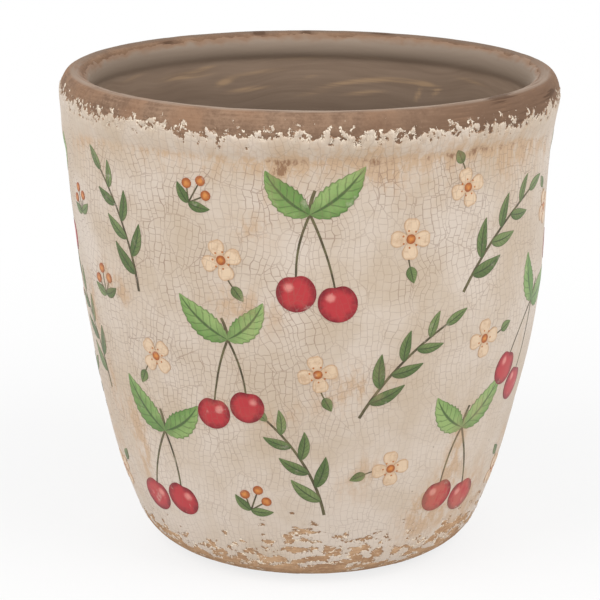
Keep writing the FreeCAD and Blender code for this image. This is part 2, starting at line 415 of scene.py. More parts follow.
def joined_faces(first_count, last_count):
    """Corners of the faces between two rings, as (ring 0 or 1, column). One count divides the other."""
    if first_count == last_count:
        return [((0, i), (1, i), (1, i + 1), (0, i + 1)) for i in range(first_count)]
    fine, coarse = (0, 1) if first_count > last_count else (1, 0)
    ratio = max(first_count, last_count) // min(first_count, last_count)
    faces = []
    for column in range(min(first_count, last_count)):
        start = column * ratio
        fan = [((fine, start + i), (coarse, column), (fine, start + i + 1)) for i in range(ratio)]
        if min(first_count, last_count) > POLE_COLUMNS:
            fan.append(((coarse, column), (coarse, column + 1), (fine, start + ratio)))
        faces += fan if fine == 0 else [face[::-1] for face in fan]
    return faces


def texture_corners(face, columns, textures, strips):
    """Texture places of a face's corners, on strips that each hold an equal share of the full turn."""
    turns = [column / columns[ring] if columns[ring] > POLE_COLUMNS else None for ring, column in face]
    known = [turn for turn in turns if turn is not None]
    middle = sum(known) / len(known)
    strip = min(int(middle * strips), strips - 1)
    places = []
    for (ring, _), turn in zip(face, turns):
        across = (middle if turn is None else turn) * strips - strip
        rise = TEXTURE_MARGIN_SHARE + textures[ring] * (1 - 2 * TEXTURE_MARGIN_SHARE)
        places.append((across, (strip + rise) / strips))
    return places


def turned_mesh(name, ring_list, closed, strips, marks_at):
    """A mesh of rings, each joined to the next, and the last to the first where it is closed.

    Its points carry what is left of the glaze or the wash, the marks and the distance from the lip's crest.
    """
    counts = [ring.columns for ring in ring_list]
    starts = [0, *np.cumsum(counts).tolist()]
    angles = np.concatenate([ring_angles(count) for count in counts])
    alongs = np.repeat([ring.along for ring in ring_list], counts)
    lifts = np.concatenate([ring.lift for ring in ring_list])
    lefts = np.concatenate([ring.left for ring in ring_list])
    faces, corners = [], []
    for index in range(len(ring_list) - (0 if closed else 1)):
        pair = index, (index + 1) % len(ring_list)
        columns = [counts[i] for i in pair]
        textures = [ring_list[i].texture for i in pair]
        if pair[1] == 0:
            textures[1] = 1
        for face in joined_faces(*columns):
            faces.append([starts[pair[ring]] + column % columns[ring] for ring, column in face])
            corners += texture_corners(face, columns, textures, strips)
    mesh = bpy.data.meshes.new(name)
    mesh.from_pydata(OUTLINE.surface(alongs, angles, lifts), [], faces)
    add_values(mesh, left=lefts, mark=marks_at(alongs, angles), lip=alongs - OUTLINE.crest)
    add_texture(mesh, corners)
    return mesh


def add_values(mesh, **values):
    """Store values of the mesh's points for its material."""
    for name, numbers in values.items():
        data = mesh.attributes.new(name, "FLOAT", "POINT").data
        data.foreach_set("value", np.asarray(numbers, dtype=np.float32))


def add_texture(mesh, corners):
    layer = mesh.uv_layers.new(name="OFBake")
    layer.data.foreach_set("uv", np.asarray(corners, dtype=np.float32).ravel())


def add_object(name, data):
    made = bpy.data.objects.new(name, data)
    bpy.context.scene.collection.objects.link(made)
    return made


def add_piece(name, mesh, material, node):
    """Add a piece of the pot to the scene, in the place of a CAD node."""
    mesh.shade_smooth()
    mesh.materials.append(material)
    made = add_object(name, mesh)
    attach(made, "root")
    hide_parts(node)


def glaze_face(points, along):
    left = glaze_left(points, along)
    wave = GLAZE_WAVE * fractal(points, GLAZE_WAVE_SIZE, 2) * np.clip(left / FAR_INSIDE, 0, 1)
    full = smooth_share(points[:, 2], 0, FOOT_THIN_HEIGHT)
    thickness = GLAZE_THICKNESS * (FOOT_THICKNESS_SHARE + (1 - FOOT_THICKNESS_SHARE) * full)
    return coat_lift(left, thickness, GLAZE_EDGE_SHARE) + wave, left


def wash_face(points, along):
    left = wash_left(points, along)
    return coat_lift(left, WASH_THICKNESS, WASH_EDGE_SHARE), left


def clay_face(points, along):
    """The clay's slight hollows, and how much glaze is left over it."""
    return np.minimum(CLAY_WAVE * fractal(points, CLAY_WAVE_SIZE, 3), 0), glaze_left(points, along)


def plain_face(lift, left):
    """A face that is the same everywhere."""
    def face(points, along):
        return np.full(len(points), lift), np.full(len(points), left)
    return face


bare_face = plain_face(0.0, -FAR_INSIDE)
covered_face = plain_face(-COAT_SINK, FAR_INSIDE)       # clay that lies too deep to show through its coat
back_face = plain_face(-COAT_BACK, FAR_INSIDE)

GLAZE_RIM_COLUMNS, GLAZE_WALL_COLUMNS, GLAZE_FOOT_COLUMNS, BACK_COLUMNS = 1200, 400, 800, 200
CLAY_EDGE_COLUMNS, CLAY_PLAIN_COLUMNS = 600, 200
WASH_EDGE_COLUMNS, WASH_WALL_COLUMNS, WASH_PLAIN_COLUMNS, WASH_FLOOR_COLUMNS = 800, 400, 200, 100
CHIP_SPACING = 0.0005
EDGE_SPACING = 0.0007
WALL_SPACING = 0.003
NECK_SPACING = 0.0008
STROKE_SPACING = 0.0009
BACK_SPACING = 0.005
GLAZE_STRIPS, CLAY_STRIPS, WASH_STRIPS = 2, 4, 2
RIM_CHIPS_UP_SHARE, RIM_CHIPS_DOWN_SHARE = 0.75, 1.4    # how far chips reach from the edge, in their depth
FOOT_CHIPS_UP_SHARE, FOOT_CHIPS_END_SHARE = 1.6, 0.03   # the second is from the ground
RIM_CHIPS_TOP = RIM_EDGE_HEIGHT + RIM_CHIPS_UP_SHARE * RIM_EDGE.chip_depth
RIM_CHIPS_END = RIM_EDGE_HEIGHT - RIM_EDGE_LEAN - RIM_CHIPS_DOWN_SHARE * RIM_EDGE.chip_depth
FOOT_CHIPS_TOP = FOOT_EDGE_HEIGHT + FOOT_EDGE_TILT + FOOT_CHIPS_UP_SHARE * FOOT_EDGE.chip_depth
FOOT_CHIPS_END = FOOT_CHIPS_END_SHARE * FOOT_EDGE.chip_depth
WASH_EDGE_START = WASH_EDGE_HEIGHT - WASH_EDGE_LEAN - 2 * WASH_EDGE_SWAY
BARE_LIP_START = WASH_EDGE_START - WASH_EDGE_SWAY
FLOOR_EDGE = OUTLINE.inside(FLOOR_TOP + WASH_THICKNESS)
FIRST_RING = FLOOR_EDGE / 3     # distance of the first ring from a pole
STROKES_END_HEIGHT = 0.134      # below it the wash has no strokes of its own


def glaze_mesh():
    top, rim_end = OUTLINE.outside(RIM_CHIPS_TOP), OUTLINE.outside(RIM_CHIPS_END)
    neck_end = OUTLINE.outside(DROOP_FULL_HEIGHT)
    foot_start, bottom = OUTLINE.outside(FOOT_CHIPS_TOP), OUTLINE.outside(FOOT_CHIPS_END)
    shown = (rings(top, rim_end, CHIP_SPACING, GLAZE_RIM_COLUMNS, glaze_face)
             + rings(rim_end + CHIP_SPACING, neck_end, NECK_SPACING, GLAZE_WALL_COLUMNS, glaze_face)
             + rings(neck_end + NECK_SPACING, foot_start - CHIP_SPACING, WALL_SPACING, GLAZE_WALL_COLUMNS,
                     glaze_face)
             + rings(foot_start, bottom, CHIP_SPACING, GLAZE_FOOT_COLUMNS, glaze_face))
    hidden = rings(bottom, top, BACK_SPACING, BACK_COLUMNS, back_face)
    return turned_mesh("glaze_coat", with_texture(shown, hidden), True, GLAZE_STRIPS, glaze_marks)


def wash_mesh():
    strokes_end, edge_start = OUTLINE.inside(STROKES_END_HEIGHT), OUTLINE.inside(WASH_EDGE_START)
    top = OUTLINE.inside(WASH_EDGE_HEIGHT + WASH_EDGE_LEAN + WASH_EDGE_SWAY)
    shown = (pole(0, wash_face)
             + rings(FIRST_RING, FLOOR_EDGE, WALL_SPACING, WASH_FLOOR_COLUMNS, wash_face)
             + rings(FLOOR_EDGE + CHIP_SPACING, strokes_end, WALL_SPACING, WASH_PLAIN_COLUMNS, wash_face)
             + rings(strokes_end + STROKE_SPACING, edge_start, STROKE_SPACING, WASH_WALL_COLUMNS, wash_face)
             + rings(edge_start + CHIP_SPACING, top, CHIP_SPACING, WASH_EDGE_COLUMNS, wash_face))
    hidden = rings(top, FIRST_RING, BACK_SPACING, BACK_COLUMNS, back_face) + pole(0, back_face)
    wash_marks = functools.partial(marks, STROKES)
    return turned_mesh("inside_wash", with_texture(shown, hidden), False, WASH_STRIPS, wash_marks)


def clay_mesh():
    lip_start, lip_end = OUTLINE.inside(BARE_LIP_START), OUTLINE.outside(RIM_CHIPS_END)
    foot_start, foot_end = OUTLINE.outside(FOOT_CHIPS_TOP), OUTLINE.outside(0)
    last = OUTLINE.length - FIRST_RING
    wall_start, wall_end = lip_end + EDGE_SPACING, foot_start - EDGE_SPACING
    ring_list = (pole(0, covered_face)
                 + rings(FIRST_RING, lip_start - EDGE_SPACING, WALL_SPACING, CLAY_PLAIN_COLUMNS, covered_face)
                 + rings(lip_start, lip_end, EDGE_SPACING, CLAY_EDGE_COLUMNS, clay_face)
                 + rings(wall_start, wall_end, WALL_SPACING, CLAY_PLAIN_COLUMNS, covered_face)
                 + rings(foot_start, foot_end, EDGE_SPACING, CLAY_EDGE_COLUMNS, clay_face)
                 + rings(foot_end + EDGE_SPACING, last, EDGE_SPACING, CLAY_PLAIN_COLUMNS, bare_face)
                 + pole(OUTLINE.length, bare_face))
    clay_marks = functools.partial(marks, RIM_MARKS)
    return turned_mesh("clay_vessel", with_texture(ring_list), False, CLAY_STRIPS, clay_marks)


# Materials

def paint(red, green, blue):
    """A colour from its three display values of 0 to 255."""
    parts = (part / 255 for part in (red, green, blue))
    return (*(part / 12.92 if part <= 0.04045 else ((part + 0.055) / 1.055) ** 2.4 for part in parts), 1)


class Value:
    """A value in a shader. Sums, differences, products and quotients of values add the nodes for them."""

    def __init__(self, nodes, socket):
        self.nodes = nodes
        self.socket = socket

    def __add__(self, other):
        return self.nodes.math("ADD", self, other)

    def __sub__(self, other):
        return self.nodes.math("SUBTRACT", self, other)

    def __mul__(self, other):
        return self.nodes.math("MULTIPLY", self, other)

    def __truediv__(self, other):
        return self.nodes.math("DIVIDE", self, other)


class Nodes:
    """Short ways to add shader nodes to a node tree and to join them."""

    def __init__(self, tree):
        self.tree = tree
        self.place = self.made("Object", "TexCoord")

    def join(self, value, socket):
        source = value.socket if isinstance(value, Value) else value
        if isinstance(source, bpy.types.NodeSocket):
            self.tree.links.new(source, socket)
        else:
            socket.default_value = source

    def add(self, kind, values=None, **settings):
        node = self.tree.nodes.new("ShaderNode" + kind)
        for name, setting in settings.items():
            setattr(node, name, setting)
        for key, value in (values or {}).items():
            self.join(value, node.inputs[key])
        return node

    def made(self, output, kind, values=None, **settings):
        """What a new node puts out at one of its outputs."""
        return Value(self, self.add(kind, values, **settings).outputs[output])

    def math(self, operation, first, second=0.0):
        return self.made(0, "Math", {0: first, 1: second}, operation=operation)

    def largest(self, *values):
        return functools.reduce(lambda first, second: self.math("MAXIMUM", first, second), values)

    def mix(self, share, first, last):
        return self.made(2, "Mix", {0: share, 6: first, 7: last}, data_type="RGBA")

    def rise(self, value, low, high, low_result=0.0, high_result=1.0):
        """Smooth change from one result to another as a value goes through a range."""
        values = {0: value, 1: low, 2: high, 3: low_result, 4: high_result}
        return self.made(0, "MapRange", values, interpolation_type="SMOOTHSTEP")

    def value(self, name):
        """A value that the mesh's points carry."""
        return self.made("Fac", "Attribute", attribute_name=name)

    def vector(self, first, second, third=0.0):
        return self.made(0, "CombineXYZ", {0: first, 1: second, 2: third})

    def parts(self, vector):
        return [Value(self, output) for output in self.add("SeparateXYZ", {0: vector}).outputs]

    def height(self):
        return self.parts(self.place)[2]

    def length(self, vector):
        return self.made("Value", "VectorMath", {0: vector}, operation="LENGTH")

    def turned(self, vector, angle):
        return self.made(0, "VectorRotate", {"Vector": vector, "Angle": angle}, rotation_type="Z_AXIS")

    def noise(self, size, detail=2.0, roughness=0.5, place=None):
        """Noise between 0 and 1, with features of a given size."""
        values = {"Vector": place or self.place, "Scale": 1 / size, "Detail": detail, "Roughness": roughness}
        return self.made("Fac", "TexNoise", values)


def new_material(name):
    material = bpy.data.materials.new(name)
    material.use_nodes = True
    return material, Nodes(material.node_tree), material.node_tree.nodes["Principled BSDF"]


def finish(nodes, shader, gloss, colour, roughness, height, depth):
    """Give a shader its gloss, colour, roughness and bump. Depth is how deep the bump's unit height is."""
    shader.inputs["Specular IOR Level"].default_value = gloss
    bump = nodes.made(0, "Bump", {"Height": height, "Strength": 1.0, "Distance": depth})
    for name, value in (("Base Color", colour), ("Roughness", roughness), ("Normal", bump)):
        nodes.join(value, shader.inputs[name])


# Crackled glaze

MEAN_RADIUS = 0.09
SEAM_WANDER = 0.06              # radians
SEAM_WANDER_SIZE = 0.012
CELL_WARP = 0.0030
CELL_WARP_SIZE = 0.008
BRICK = (0.0025, 0.0031)
BRICK_RANDOMNESS = 0.8
BRICK_TURN = 0.6                # radians
BRICK_OFFSET = 50.0             # bricks, so that neighbouring columns are unlike
MAIN_CELL = (0.013, 0.017)
MAIN_RANDOMNESS = 0.9
MAIN_CRACK_SHARE, LEVEL_CRACK_SHARE, SEAM_SHARE = 0.7, 0.85, 0.4    # strength next to an upright fine crack's
FINE_CRACK_WIDTH = 0.00020
MAIN_CRACK_WIDTH = 0.00022
CRACK_CORE_SHARE = 0.25         # share of a crack's width that is fully dark
CRACK_FADE_SIZE = 0.014
CRACK_FADE_SLANT = 0.6          # the cracks fade towards the foot and the right
CRACK_FADE_RANGE = (0.01, 0.16)
NECK_CRACK_RANGE, NECK_CRACK_SHARE = (0.170, 0.180), 0.45     # they also fade between these heights
CLOUD_SIZE, SHEEN_SIZE = 0.03, 0.015
GRAIN_SIZE = 0.0012
BRUSH_SIZE, BRUSH_HEIGHT_SHARE = 0.0045, 0.55
SPECK_CELL, SPECK_WIDTH = 0.008, 0.00064
FLAKE_DEPTH = 0.0018
FLAKE_SIZE = 0.0022
CRACK_DEPTH = 0.00003
FINE_CHIP_SIZE = 0.0013
FINE_CHIP_DEPTH = 0.013         # for the whole range of the noise, of which the middle third is common
CLAY_BIT_DEPTH = 0.017
RIM_CHIP_STRETCH, FOOT_CHIP_STRETCH = 0.85, 1.4
FOOT_CHIP_GAIN = 1.9
CHIP_EDGE, CHIP_SHADE = 0.00015, 0.00045
FOOT_TINT_HEIGHT, RIM_TINT_HEIGHT = 0.03, 0.15
BOUNCE_LIGHT_HEIGHTS, BOUNCE_LIGHT_SHARE = (0.03, 0.075), 0.08    # painted bounce light from the floor: the cream grows paler towards the foot
PALE_STAIN_SHARE, DEEP_STAIN_SHARE = 0.75, 0.8
GLAZE_GLOSS, CLAY_GLOSS, WASH_GLOSS = 0.35, 0.12, 0.3

CREAM_LIGHT, CREAM_DARK = paint(213, 199, 185), paint(197, 178, 156)
CRACK_COLOUR = paint(136, 107, 91)
# Stain colours, which also paint the shade in the neck's crease
STAIN_AND_SHADE_PALE, STAIN_AND_SHADE_DEEP = paint(194, 160, 124), paint(132, 92, 60)
SPECK_COLOUR = paint(120, 92, 70)
FLAKE_COLOUR, CHIP_COLOUR = paint(240, 226, 206), paint(150, 116, 88)
# Dark clay colour of specks and marks, also used for painted shade at worn edges and the foot
CLAY_SPECK_AND_SHADE = paint(88, 66, 51)


def unrolled(nodes):
    """Angle, distance round the pot and height. They break at a line that wanders down the back."""
    sway = nodes.noise(SEAM_WANDER_SIZE) - 0.5
    right, back, up = nodes.parts(nodes.turned(nodes.place, sway * SEAM_WANDER))
    angle = nodes.math("ARCTAN2", right, back * -1.0)
    return angle, angle * MEAN_RADIUS, up


def cells(nodes, dimensions, feature, place, randomness):
    """Cells of a random net, in one dimension or two: their own colours or the distance to their edges."""
    values = {"W" if dimensions == "1D" else "Vector": place, "Scale": 1.0, "Randomness": randomness}
    output = "Distance" if feature == "DISTANCE_TO_EDGE" else "Color"
    return nodes.made(output, "TexVoronoi", values, voronoi_dimensions=dimensions, feature=feature)


def cell_number(nodes, dimensions, place, randomness):
    """A random number that belongs to the cell at a place."""
    return nodes.made(0, "SeparateColor", {0: cells(nodes, dimensions, "F1", place, randomness)})


def crack_lines(nodes, dimensions, place, randomness, width_share):
    """Lines between cells, 1 on a line and 0 off it. The width is a share of the cells' size."""
    distance = cells(nodes, dimensions, "DISTANCE_TO_EDGE", place, randomness)
    return nodes.rise(distance, CRACK_CORE_SHARE * width_share, width_share, 1.0, 0.0)


def crack_fade(nodes):
    """Share of their strength that the cracks keep at a place."""
    right, _, up = nodes.parts(nodes.place)
    patches = nodes.noise(CRACK_FADE_SIZE, 3.0)
    return (nodes.rise(up - right * CRACK_FADE_SLANT, *CRACK_FADE_RANGE, 0.45, 1.0)
            * nodes.rise(patches, 0.32, 0.68, 0.28, 0.72)
            * nodes.rise(up, *NECK_CRACK_RANGE, 1.0, NECK_CRACK_SHARE))


def crackle(nodes):
    """Strength of the crackle: long cracks round large cells, and in each large cell rows of small bricks.

    The bricks are turned and shifted from one large cell to the next, and their lines fade in and out.
    """
    angle, across, up = unrolled(nodes)
    warp = {"Vector": nodes.place, "Scale": 1 / CELL_WARP_SIZE, "Detail": 2.0}
    shifts = nodes.parts(nodes.made("Color", "TexNoise", warp))
    across, up = across + shifts[0] * CELL_WARP, up + shifts[1] * CELL_WARP
    large = nodes.vector(across / MAIN_CELL[0], up / MAIN_CELL[1])
    main = crack_lines(nodes, "2D", large, MAIN_RANDOMNESS, MAIN_CRACK_WIDTH / MAIN_CELL[0])
    turn = (cell_number(nodes, "2D", large, MAIN_RANDOMNESS) - 0.5) * BRICK_TURN
    sides = nodes.parts(nodes.turned(nodes.vector(across, up), turn))
    column = sides[0] / BRICK[0]
    brick = sides[1] / BRICK[1] + cell_number(nodes, "1D", column, BRICK_RANDOMNESS) * BRICK_OFFSET
    upright = crack_lines(nodes, "1D", column, BRICK_RANDOMNESS, FINE_CRACK_WIDTH / BRICK[0])
    level = crack_lines(nodes, "1D", brick, BRICK_RANDOMNESS, FINE_CRACK_WIDTH / BRICK[1])
    lines = nodes.largest(upright, level * LEVEL_CRACK_SHARE, main * MAIN_CRACK_SHARE)
    seam_angle = math.pi - MAIN_CRACK_WIDTH / MEAN_RADIUS
    seam = nodes.rise(nodes.math("ABSOLUTE", angle), seam_angle, math.pi, 0.0, SEAM_SHARE)
    return nodes.largest(lines * crack_fade(nodes), seam)


def specks(nodes):
    """Small dark dots in some of the cells of a loose net."""
    net = nodes.add("TexVoronoi", {"Vector": nodes.place, "Scale": 1 / SPECK_CELL}).outputs
    dots = nodes.rise(net["Distance"], 0, SPECK_WIDTH / SPECK_CELL, 1.0, 0.0)
    return dots * nodes.rise(nodes.made(0, "SeparateColor", {0: net["Color"]}), 0.5, 0.9)


def chip_noise(nodes):
    """Noise of the finest chips, upright at the rim and level at the foot."""
    right, back, up = nodes.parts(nodes.place)
    stretch, gain = (nodes.rise(up, FOOT_TINT_HEIGHT, RIM_TINT_HEIGHT, low, high)
                     for low, high in ((FOOT_CHIP_STRETCH, RIM_CHIP_STRETCH), (FOOT_CHIP_GAIN, 1.0)))
    return (nodes.noise(FINE_CHIP_SIZE, 4.0, 0.7, nodes.vector(right, back, up * stretch)) - 0.5) * gain


def stained(nodes, colour, stain_share):
    """A colour with the stains and the painted crease shade that the mesh's points carry, streaked as if
    brushed on.
    """
    right, back, up = nodes.parts(nodes.place)
    brush = nodes.noise(BRUSH_SIZE, 6.0, 0.7, nodes.vector(right, back, up * BRUSH_HEIGHT_SHARE))
    stain_and_shade = nodes.value("mark") * nodes.rise(brush, 0.34, 0.66, 0.2, 1.75)
    colour = nodes.mix(nodes.rise(stain_and_shade, 0.0, 1.3, 0.0, PALE_STAIN_SHARE * stain_share), colour, STAIN_AND_SHADE_PALE)
    return nodes.mix(nodes.rise(stain_and_shade, 1.5, 3.0, 0.0, DEEP_STAIN_SHARE * stain_share), colour, STAIN_AND_SHADE_DEEP)


def chipped(nodes, colour):
    """A colour with pale flakes near the worn edges, a dark line of grime and painted shade at them and bare
    clay past them.
    """
    left = nodes.value("left") + chip_noise(nodes) * FINE_CHIP_DEPTH
    flakes = (nodes.rise(left, 0, FLAKE_DEPTH, 1.0, 0.0)
              * nodes.rise(nodes.noise(FLAKE_SIZE), 0.4, 0.65, 0.1, 0.85))
    colour = nodes.mix(flakes, colour, FLAKE_COLOUR)
    # Dark line just inside the worn edge: grime and painted shade of the chipped glaze
    colour = nodes.mix(nodes.rise(left, CHIP_EDGE, CHIP_SHADE, 0.45, 0.0), colour, CLAY_SPECK_AND_SHADE)
    return nodes.mix(nodes.rise(left, -CHIP_EDGE, CHIP_EDGE, 1.0, 0.0), colour, CHIP_COLOUR)


def glazed(name, paint_colour, stain_share=1.0, crack_share=1.0):
    """A satin glaze over a colour, cracked, stained, speckled and chipped, with painted shade in the crease
    and at chips.
    """
    material, nodes, shader = new_material(name)
    cracks = crackle(nodes) * crack_share
    colour = nodes.mix(cracks, stained(nodes, paint_colour(nodes), stain_share), CRACK_COLOUR)
    colour = chipped(nodes, nodes.mix(specks(nodes) * 0.7, colour, SPECK_COLOUR))
    roughness = nodes.noise(SHEEN_SIZE) * 0.16 + cracks * 0.2 + 0.36
    height = nodes.noise(GRAIN_SIZE) * 0.25 - cracks
    finish(nodes, shader, GLAZE_GLOSS, colour, roughness, height, CRACK_DEPTH)
    return material


def cream(nodes):
    clouds = nodes.noise(CLOUD_SIZE, 4.0, 0.6)
    # Painted bounce light from the floor makes the cream paler low on the wall
    low = nodes.rise(nodes.height(), *BOUNCE_LIGHT_HEIGHTS, BOUNCE_LIGHT_SHARE, 0.0)
    return nodes.mix(nodes.rise(clouds + low, 0.3, 0.7), CREAM_DARK, CREAM_LIGHT)


# Bare clay

MOTTLE_SIZE, RUST_SIZE = 0.008, 0.016
STREAK_LENGTH, STREAK_WIDTH = 0.014, 0.0009
CLAY_GRAIN_DEPTH = 0.00012
# Painted highlight along the lip's crest: where it starts and ends
CREST_HIGHLIGHT_START, CREST_HIGHLIGHT_END = (-0.0036, -0.0012), (0.0006, 0.0026)     # distances from the crest
INNER_TAN, INNER_TAN_SWAY = (-0.0046, -0.0016), 0.005
EDGE_GRIME_AND_SHADE_DEPTH = 0.0016
# Height of the painted contact shadow at the foot
CONTACT_SHADOW_HEIGHT = 0.0022
FAR_RIM = 0.05

CLAY_LIGHT, CLAY_DARK, CLAY_RUST = paint(154, 126, 104), paint(118, 92, 74), paint(152, 116, 90)
# Colours of the crest's painted highlight, and of the painted shade it turns to on the far side
CREST_HIGHLIGHT, FAR_CREST_SHADE, CLAY_TAN = paint(158, 140, 125), paint(120, 102, 88), paint(141, 112, 89)
CLAY_FOOT_LIGHT, CLAY_FOOT_DARK = paint(202, 167, 133), paint(162, 126, 95)


def stroke_noise(nodes, level, length, width, roughness=0.5):
    """Noise of strokes round the pot, of a given length and width, at levels given by a value."""
    right, back, _ = nodes.parts(nodes.place)
    return nodes.noise(1.0, 2.0, roughness, nodes.vector(right / length, back / length, level / width))


def clay_rim(nodes, lip, mottle, streaks, tone):
    """Colour of the rim: mottled brown, tan inside, with dark marks and a painted highlight along its crest.
    """
    rim = nodes.mix(nodes.rise(tone, 0.36, 0.62), CLAY_DARK, CLAY_LIGHT)
    rim = nodes.mix(nodes.rise(nodes.noise(RUST_SIZE, 3.0), 0.42, 0.78, 0.0, 0.6), rim, CLAY_RUST)
    inner = nodes.mix(nodes.rise(tone, 0.38, 0.6, 0.85, 0.0), CLAY_TAN, CLAY_DARK)
    rim = nodes.mix(nodes.rise(lip + (mottle - 0.5) * INNER_TAN_SWAY, *INNER_TAN, 1.0, 0.0), rim, inner)
    worn = nodes.value("mark") * nodes.rise(streaks, 0.3, 0.65, 0.5, 1.2)
    rim = nodes.mix(nodes.rise(worn, 0.0, 1.0, 0.0, 0.9), rim, CLAY_DARK)
    # A painted highlight along the crest, which turns to painted shade on the far side
    crest_highlight = (nodes.rise(lip, *CREST_HIGHLIGHT_START) * nodes.rise(lip, *CREST_HIGHLIGHT_END, 1.0, 0.0)
              * nodes.rise(streaks, 0.3, 0.6, 0.35, 0.95))
    far = nodes.rise(nodes.parts(nodes.place)[1], -FAR_RIM, FAR_RIM)
    rim = nodes.mix(crest_highlight, rim, nodes.mix(far, CREST_HIGHLIGHT, FAR_CREST_SHADE))
    return nodes.mix(nodes.rise(worn, 1.1, 1.6, 0.0, 0.8), rim, CLAY_SPECK_AND_SHADE)


def clay_material():
    material, nodes, shader = new_material("fired_clay")
    lip, left, up = nodes.value("lip"), nodes.value("left"), nodes.height()
    mottle = nodes.noise(MOTTLE_SIZE, 5.0, 0.62)
    streaks = stroke_noise(nodes, lip, STREAK_LENGTH, STREAK_WIDTH)
    grain = nodes.noise(GRAIN_SIZE, 4.0, 0.7)
    tone = mottle * 0.45 + streaks * 0.25 + grain * 0.3
    foot = nodes.mix(nodes.rise(tone, 0.38, 0.62), CLAY_FOOT_DARK, CLAY_FOOT_LIGHT)
    rim = clay_rim(nodes, lip, mottle, streaks, tone)
    colour = nodes.mix(nodes.rise(up, FOOT_TINT_HEIGHT, RIM_TINT_HEIGHT), foot, rim)
    # The clay darkens towards the glaze's worn edge: grime and painted shade of the glaze's raised edge
    colour = nodes.mix(nodes.rise(left, -EDGE_GRIME_AND_SHADE_DEPTH, 0, 0.0, 0.4), colour, CLAY_SPECK_AND_SHADE)
    bits = left + chip_noise(nodes) * CLAY_BIT_DEPTH
    colour = nodes.mix(nodes.rise(bits, -CHIP_EDGE, CHIP_EDGE), colour, FLAKE_COLOUR)
    colour = nodes.mix(specks(nodes) * 0.9, colour, CLAY_SPECK_AND_SHADE)
    # Painted contact shadow along the bottom of the foot
    colour = nodes.mix(nodes.rise(up, 0, CONTACT_SHADOW_HEIGHT, 0.65, 0.0), colour, CLAY_SPECK_AND_SHADE)
    roughness = nodes.rise(mottle, 0.3, 0.7, 0.68, 0.86)
    finish(nodes, shader, CLAY_GLOSS, colour, roughness, grain + streaks, CLAY_GRAIN_DEPTH)
    return material


# Brushed wash

STROKE_LENGTH, STROKE_WIDTH = 0.034, 0.0042
STROKE_WARP, STROKE_WARP_SIZE = 0.016, 0.04
BRISTLE_LENGTH, BRISTLE_WIDTH = 0.03, 0.0011
STROKE_DEPTH = 0.00012
WASH_FEATHER = 0.0035
BAND_TOP_HEIGHT, BAND_END_HEIGHT, DEPTH_SHADE_HEIGHT = 0.1865, 0.1805, 0.15

# Colours of the wash; the third is painted shade deep inside the pot
WASH_LIGHT, WASH_DARK, WASH_DEPTH_SHADE = paint(155, 133, 114), paint(139, 118, 100), paint(108, 91, 77)
WASH_BAND, WASH_STROKE = paint(153, 136, 120), paint(186, 155, 122)


def wash_material():
    material, nodes, shader = new_material("grey_brown_wash")
    up = nodes.height()
    level = up + (nodes.noise(STROKE_WARP_SIZE, 1.0) - 0.5) * STROKE_WARP
    strokes = stroke_noise(nodes, level, STROKE_LENGTH, STROKE_WIDTH, 0.55)
    bristles = stroke_noise(nodes, level, BRISTLE_LENGTH, BRISTLE_WIDTH, 0.6)
    tone = strokes * 0.7 + bristles * 0.3
    colour = nodes.mix(nodes.rise(tone, 0.3, 0.7), WASH_DARK, WASH_LIGHT)
    # Painted shade: the wash darkens deeper down inside the pot
    colour = nodes.mix(nodes.rise(up, DEPTH_SHADE_HEIGHT, BAND_END_HEIGHT, 0.85, 0.0), colour, WASH_DEPTH_SHADE)
    touched = nodes.value("mark") * nodes.rise(bristles, 0.32, 0.6, 0.4, 1.0)
    colour = nodes.mix(nodes.rise(touched, 0.05, 0.9, 0.0, 0.75), colour, WASH_STROKE)
    colour = nodes.mix(nodes.rise(up, BAND_END_HEIGHT, BAND_TOP_HEIGHT, 0.0, 0.8), colour, WASH_BAND)
    feather = nodes.value("left") + (strokes - 0.5) * WASH_FEATHER
    colour = nodes.mix(nodes.rise(feather, 0, WASH_FEATHER, 1.0, 0.0), colour, CLAY_TAN)
    roughness = nodes.rise(bristles, 0.3, 0.7, 0.5, 0.66)
    finish(nodes, shader, WASH_GLOSS, colour, roughness, tone, STROKE_DEPTH)
    return material


def build_pot():
    add_piece("clay_vessel", clay_mesh(), clay_material(), "clay_body")
    glaze = glazed("crackle_glaze", cream)
    add_piece("glaze_coat", glaze_mesh(), glaze, "crackle_glaze")
    add_piece("inside_wash", wash_mesh(), wash_material(), "interior_wash")


# Printed sprigs, as thin films on the glaze, drawn flat in metres with headings and bends in degrees

Shape = collections.namedtuple("Shape", "alongs angles lengthwise sidewise tone mirrored")
LEAF_COLUMNS, STEM_ROWS, STEM_COLUMNS, PETAL_ROWS = 7, 13, 3, 13
DISC_ROWS_PER_RADIUS, LEAST_DISC_ROWS = 1800, 5
ROWS_PER_TOOTH, LEAST_TEETH = 4, 5
TOOTH_SHARE = 0.16
TIP_HALF_WIDTH = 0.00012
LEAF_BELLY_POWER, LEAF_TIP_POWER = 0.75, 0.9
PETAL_ROUND_SHARES, PETAL_FOOT_SHARE = (0.04, 0.96), 0.3
STEM_TIP_SHARE = 0.7
DENT_SPREAD = 0.4               # radians
LEAST_BEND = 0.0000573          # stands for no bend at all
RIGHT_ANGLE, FULL_DEGREES = 90, 360


def unit(headings):
    """Unit vectors along headings."""
    ways = np.radians(headings)
    return np.stack((np.cos(ways), np.sin(ways)), axis=-1)


def spread(count, first=0):
    """Headings spread evenly round a full turn."""
    return first + np.arange(count) * FULL_DEGREES / count


def trace(start, heading, length, bend, shares):
    """Points and headings at shares of a bent line, which turns evenly by its bend."""
    bend = bend or LEAST_BEND
    headings = heading + bend * np.asarray(shares)
    shifts = unit(headings - RIGHT_ANGLE) - unit(heading - RIGHT_ANGLE)
    return np.asarray(start) + shifts * length / math.radians(bend), headings


